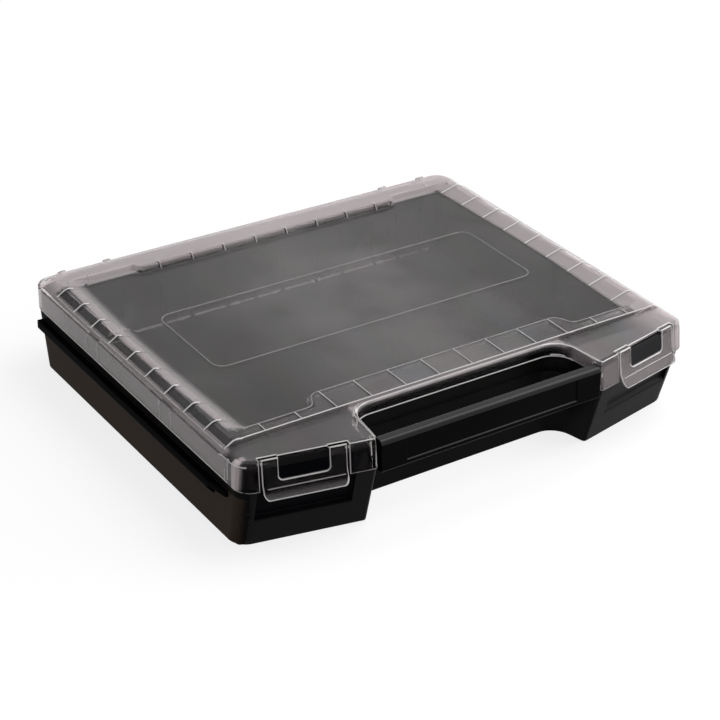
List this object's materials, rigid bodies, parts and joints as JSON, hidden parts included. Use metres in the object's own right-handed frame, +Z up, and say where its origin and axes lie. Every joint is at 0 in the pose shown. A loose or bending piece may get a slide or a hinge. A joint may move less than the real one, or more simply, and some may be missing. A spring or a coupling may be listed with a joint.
{
  "type": "compartment storage box",
  "caption": "Flat carry case with a black moulded tray, a clear hinged lid, clear front latches, side runners and a handle bar across a front bay; it holds small parts.",
  "frame": {"origin": "on the surface the case stands on, under the middle of its outer box", "axes": "+X to the right seen from the front, -Y towards the handle at the front, +Z up"},
  "size_m": [0.367, 0.3155, 0.07],
  "materials": {
    "black_tray": "satin moulded",
    "black_bar": "satin moulded",
    "black_runner": "satin moulded",
    "steel_pin": "drawn",
    "clear_lid": "clear, polished",
    "clear_latch": "clear, polished"
  },
  "bodies": {
    "tray": {"base_tray": "black_tray", "handle_bar": "black_bar", "side_runner_left": "black_runner", "side_runner_right": "black_runner", "hinge_pin_left": "steel_pin", "hinge_pin_right": "steel_pin"},
    "lid": {"lid": "clear_lid", "latch_pins_left": "clear_latch", "latch_pins_right": "clear_latch"},
    "latch_left": {"latch_flap_left": "clear_latch"},
    "latch_right": {"latch_flap_right": "clear_latch"}
  },
  "joints": [
    {"name": "lid_hinge", "type": "hinge", "parent": "tray", "child": "lid", "pos_m": [0, 0.1542, 0.045], "axis": [-1, 0, 0], "range_deg": [0, 105]},
    {"name": "latch_left_hinge", "type": "hinge", "parent": "lid", "child": "latch_left", "pos_m": [-0.1374, -0.14288, 0.0646], "axis": [-0.9806, 0.1959, 0], "range_deg": [0, 50], "stiffness_Nm_per_rad": 0.1},
    {"name": "latch_right_hinge", "type": "hinge", "parent": "lid", "child": "latch_right", "pos_m": [0.1374, -0.14288, 0.0646], "axis": [-0.9806, -0.1959, 0], "range_deg": [0, 50], "stiffness_Nm_per_rad": 0.1}
  ]
}
